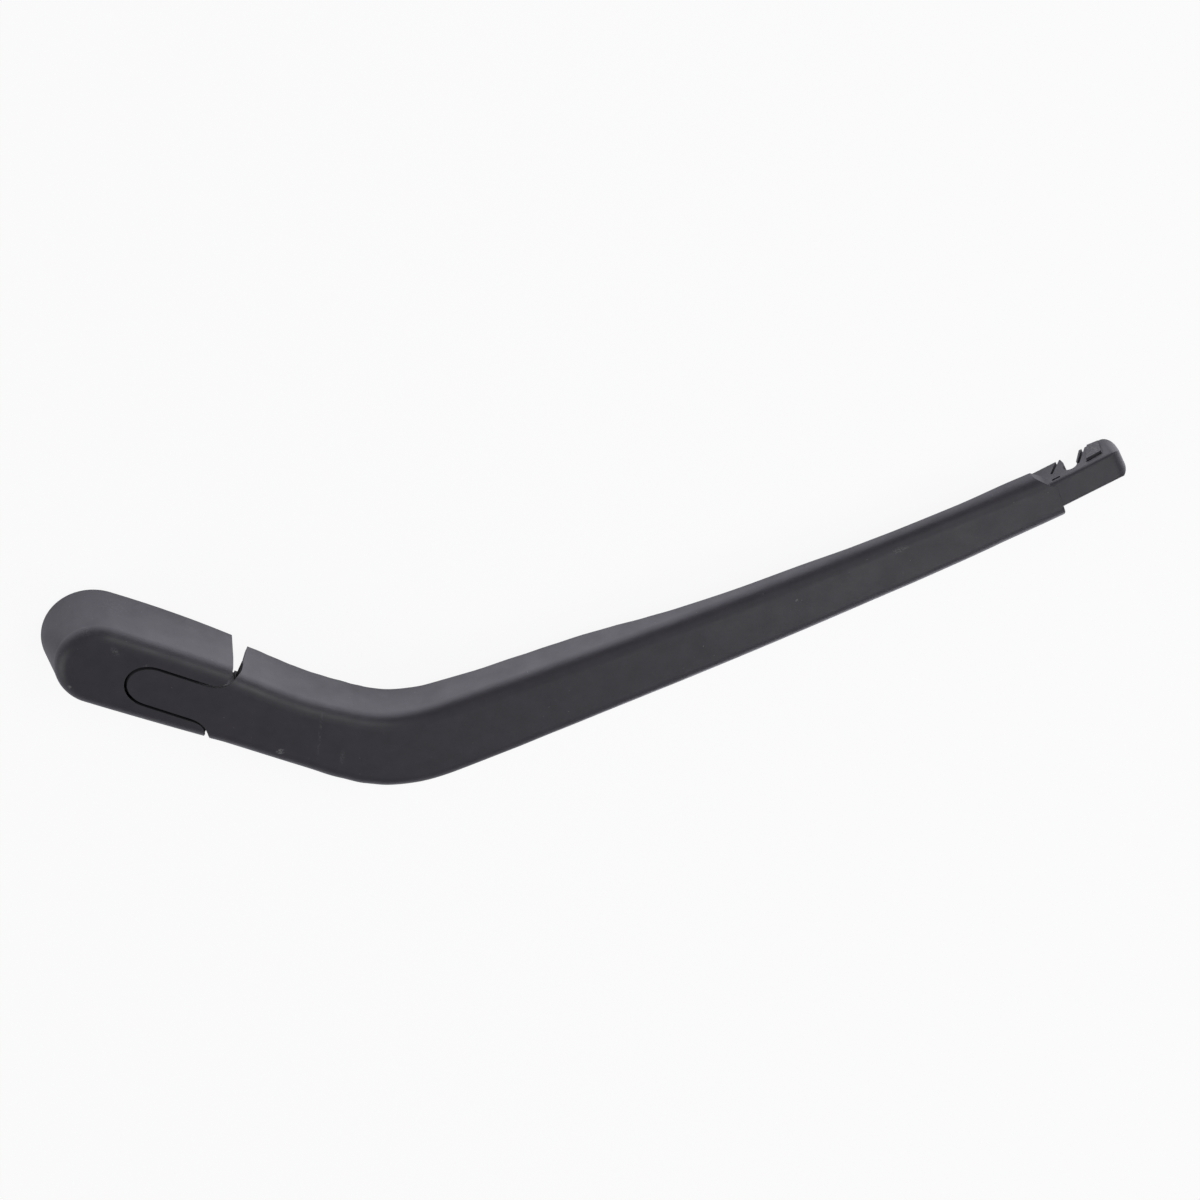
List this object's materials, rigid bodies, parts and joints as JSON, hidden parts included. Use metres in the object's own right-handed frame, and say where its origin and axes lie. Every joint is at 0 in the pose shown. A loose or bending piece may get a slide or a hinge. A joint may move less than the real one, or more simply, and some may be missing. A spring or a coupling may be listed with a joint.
{
  "type": "rear wiper arm",
  "caption": "Rear wiper arm: hollow moulded arm bent in plan, hinged to a cast spindle head under a flip-up cover, with a claw at its tip for the blade's pin.",
  "frame": {"origin": "spindle axis on the head's seating face", "axes": "+Z along the spindle away from the glass, +X along the straight root of the arm, toward the bend"},
  "size_m": [0.2825, 0.1868, 0.022],
  "materials": {
    "black_plastic": "satin, fine moulded grain",
    "cast_alloy": "as cast",
    "pin_steel": "zinc plated",
    "hook_steel": "stamped, plated",
    "spring_steel": "phosphated",
    "bush_nylon": "natural nylon"
  },
  "bodies": {
    "head": {"pivot_head": "cast_alloy", "hinge_pin": "pin_steel", "spring_anchor_pin": "pin_steel"},
    "arm": {"arm_body": "black_plastic", "hinge_bush_left": "bush_nylon", "hinge_bush_right": "bush_nylon", "spring_pin": "pin_steel"},
    "cover": {"head_cover": "black_plastic"},
    "spring": {"spring_hook": "hook_steel", "tension_spring": "spring_steel"}
  },
  "joints": [
    {"name": "arm_lift", "type": "hinge", "parent": "head", "child": "arm", "pos_m": [0.027, 0, 0.013], "axis": [0, -1, 0], "range_deg": [0, 60], "stiffness_Nm_per_rad": 0.9, "springref_deg": -68.75, "deforming": ["tension_spring"]},
    {"name": "cover_open", "type": "hinge", "parent": "head", "child": "cover", "pos_m": [-0.011, 0, 0.0034], "axis": [0, -1, 0], "range_deg": [0, 75]},
    {"name": "spring_swing", "type": "hinge", "parent": "head", "child": "spring", "pos_m": [0.022, 0, 0.00775], "axis": [0, -1, 0], "range_deg": [0, 54]}
  ],
  "couplings": [
    {"joint": "spring_swing", "follows": "arm_lift", "ratio": 0.88}
  ]
}
